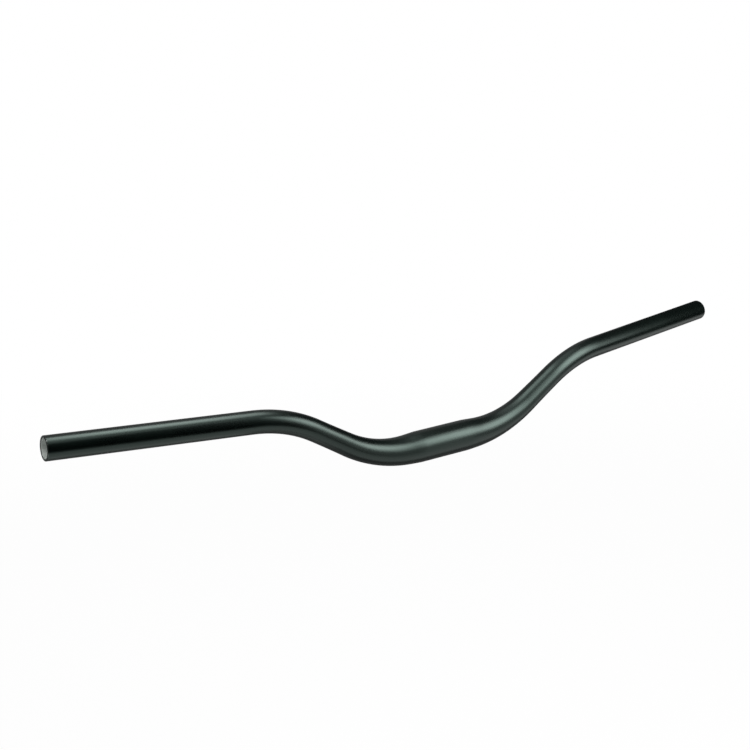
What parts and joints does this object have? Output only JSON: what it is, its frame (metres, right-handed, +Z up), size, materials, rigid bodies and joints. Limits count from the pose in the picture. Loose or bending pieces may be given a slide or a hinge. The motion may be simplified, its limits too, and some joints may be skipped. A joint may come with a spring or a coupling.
{
  "type": "bicycle handlebar",
  "caption": "Wide black riser handlebar: a butted aluminium tube with a thick clamp area, tapered bends up to straight grip ends that sweep back, and open cut ends.",
  "frame": {"origin": "middle of the clamp area, on its axis", "axes": "+X along the clamp area to one grip end, +Y back towards the rider, the way the ends sweep, +Z up, the way the bar rises"},
  "size_m": [0.8224, 0.048, 0.0999],
  "materials": {
    "satin_black": "satin black outside and on the cut ends, bare metal in the bore"
  },
  "bodies": {
    "root": {"handlebar": "satin_black"}
  },
  "joints": []
}
